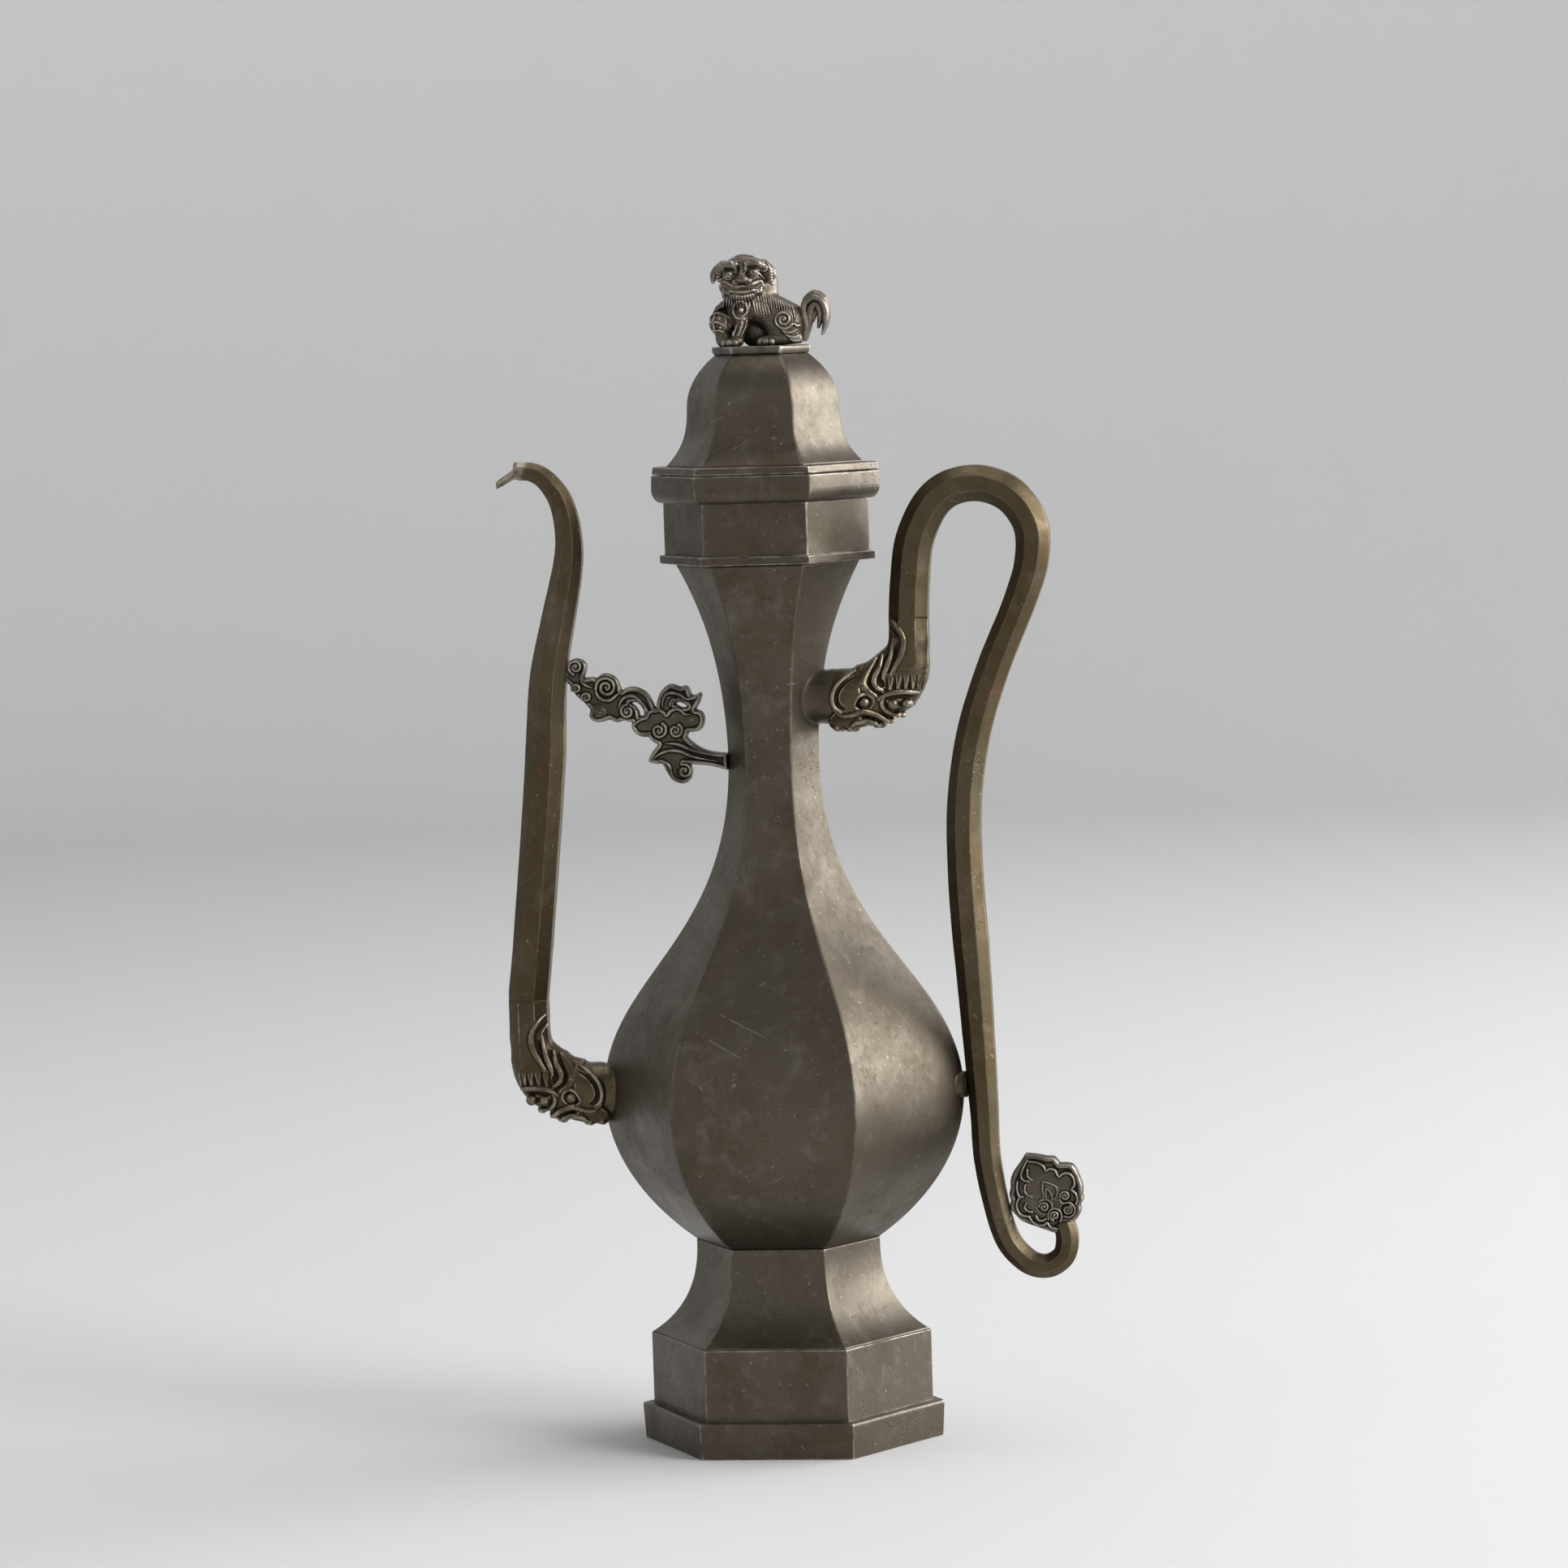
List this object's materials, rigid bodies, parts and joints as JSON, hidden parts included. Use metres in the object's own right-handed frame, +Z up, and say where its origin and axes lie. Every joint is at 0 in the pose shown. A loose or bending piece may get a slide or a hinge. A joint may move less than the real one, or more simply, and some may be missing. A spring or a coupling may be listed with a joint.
{
  "type": "ewer",
  "caption": "Hexagonal pewter ewer with a lift-off domed lid, a guardian lion finial and dragon-headed spout and handle.",
  "frame": {"origin": "on the table under the ewer, midway between the outermost points of the spout and the handle", "axes": "+X toward the handle, -X toward the spout, +Z up, -Y toward the front flat"},
  "size_m": [0.2228, 0.1224, 0.4605],
  "materials": {
    "sheet_pewter": "aged pewter sheet, softly burnished, grey-brown",
    "warm_pewter": "aged pewter bar with an olive-brown patina",
    "cast_pewter": "aged cast pewter, worn bright on the high places"
  },
  "bodies": {
    "vessel": {"foot_rim": "sheet_pewter", "foot_band": "sheet_pewter", "foot_flare_panel_1": "sheet_pewter", "foot_flare_panel_2": "sheet_pewter", "foot_flare_panel_3": "sheet_pewter", "foot_flare_panel_4": "sheet_pewter", "foot_flare_panel_5": "sheet_pewter", "foot_flare_panel_6": "sheet_pewter", "body_panel_1": "sheet_pewter", "body_panel_2": "sheet_pewter", "body_panel_3": "sheet_pewter", "body_panel_4": "sheet_pewter", "body_panel_5": "sheet_pewter", "body_panel_6": "sheet_pewter", "vessel_floor": "sheet_pewter", "mouth_flange": "sheet_pewter", "mouth_band": "sheet_pewter", "mouth_rim": "sheet_pewter", "spout_collar": "warm_pewter", "spout_dragon": "warm_pewter", "spout_tube": "warm_pewter", "cloud_strut": "cast_pewter", "handle_collar": "cast_pewter", "handle_dragon": "cast_pewter", "handle_bar": "warm_pewter", "handle_peg": "cast_pewter", "ruyi_head": "cast_pewter"},
    "lid": {"lid_plug": "sheet_pewter", "lid_plate": "sheet_pewter", "dome_panel_1": "sheet_pewter", "dome_panel_2": "sheet_pewter", "dome_panel_3": "sheet_pewter", "dome_panel_4": "sheet_pewter", "dome_panel_5": "sheet_pewter", "dome_panel_6": "sheet_pewter", "finial_plate": "cast_pewter", "guardian_lion": "cast_pewter"}
  },
  "joints": [
    {"name": "lid_lift", "type": "slide", "parent": "vessel", "child": "lid", "axis": [0, 0, 1], "range_m": [0, 0.07]}
  ]
}
